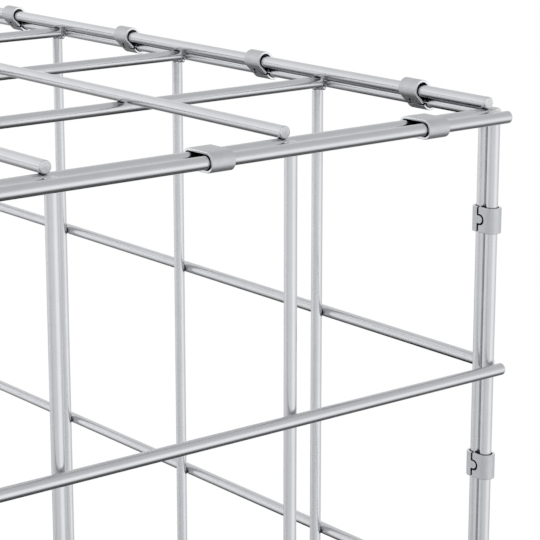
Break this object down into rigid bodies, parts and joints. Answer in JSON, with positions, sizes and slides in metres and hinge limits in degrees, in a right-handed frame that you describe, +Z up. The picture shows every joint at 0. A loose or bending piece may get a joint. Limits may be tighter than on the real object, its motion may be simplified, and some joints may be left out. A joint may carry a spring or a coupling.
{
  "type": "gabion basket",
  "caption": "Empty box-shaped basket of welded steel wire mesh with a shut lid, its panels joined along every edge by flat strip clips.",
  "frame": {"origin": "centre of the basket's footprint, level with the lowest clips, where it stands on the ground", "axes": "+X along the long front, +Y from the front to the back, +Z up"},
  "size_m": [1.0184, 0.5268, 0.5183],
  "materials": {
    "wire": "drawn steel wire with a satin zinc-aluminium coating",
    "clip": "rolled strip of coated steel, satin"
  },
  "bodies": {
    "root": {"front_panel": "wire", "back_panel": "wire", "left_end_panel": "wire", "right_end_panel": "wire", "lid_panel": "wire", "base_panel": "wire", "lid_front_clips": "clip", "lid_back_clips": "clip", "lid_left_clips": "clip", "lid_right_clips": "clip", "base_front_clips": "clip", "base_back_clips": "clip", "base_left_clips": "clip", "base_right_clips": "clip", "front_left_clip_1": "clip", "front_left_clip_2": "clip", "front_left_clip_3": "clip", "front_left_clip_4": "clip", "front_left_clip_5": "clip", "front_right_clip_1": "clip", "front_right_clip_2": "clip", "front_right_clip_3": "clip", "front_right_clip_4": "clip", "front_right_clip_5": "clip", "back_left_clip_1": "clip", "back_left_clip_2": "clip", "back_left_clip_3": "clip", "back_left_clip_4": "clip", "back_left_clip_5": "clip", "back_right_clip_1": "clip", "back_right_clip_2": "clip", "back_right_clip_3": "clip", "back_right_clip_4": "clip", "back_right_clip_5": "clip"}
  },
  "joints": []
}
